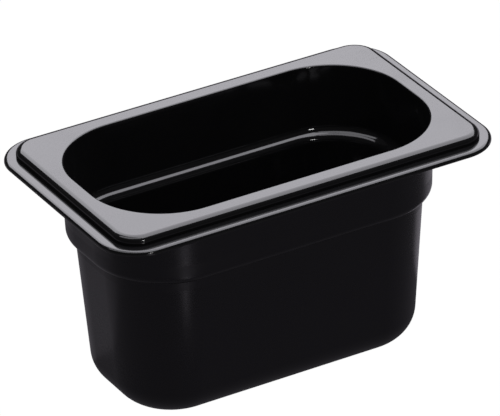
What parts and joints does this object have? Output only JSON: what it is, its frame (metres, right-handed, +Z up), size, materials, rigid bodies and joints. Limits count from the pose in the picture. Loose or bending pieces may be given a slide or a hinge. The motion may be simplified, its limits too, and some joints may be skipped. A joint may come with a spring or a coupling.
{
  "type": "deli food pan",
  "caption": "Small rectangular food pan with a hanging flange, raised lid land, stepped collar and drafted bowl, for holding and serving chilled food.",
  "frame": {"origin": "centre of the footprint, on the plane the pan stands on", "axes": "+X along the length, +Y across the width, +Z up out of the mouth"},
  "size_m": [0.176, 0.108, 0.099],
  "materials": {
    "rim_gloss": "polished black polycarbonate",
    "shell_satin": "fine satin mould texture outside, polished inside"
  },
  "bodies": {
    "root": {"rim_flange": "rim_gloss", "rim_riser": "rim_gloss", "lid_land": "rim_gloss", "opening_lip": "rim_gloss", "collar_wall": "shell_satin", "stacking_shoulder": "shell_satin", "body_wall": "shell_satin", "base_curve": "shell_satin", "floor_panel": "shell_satin"}
  },
  "joints": []
}
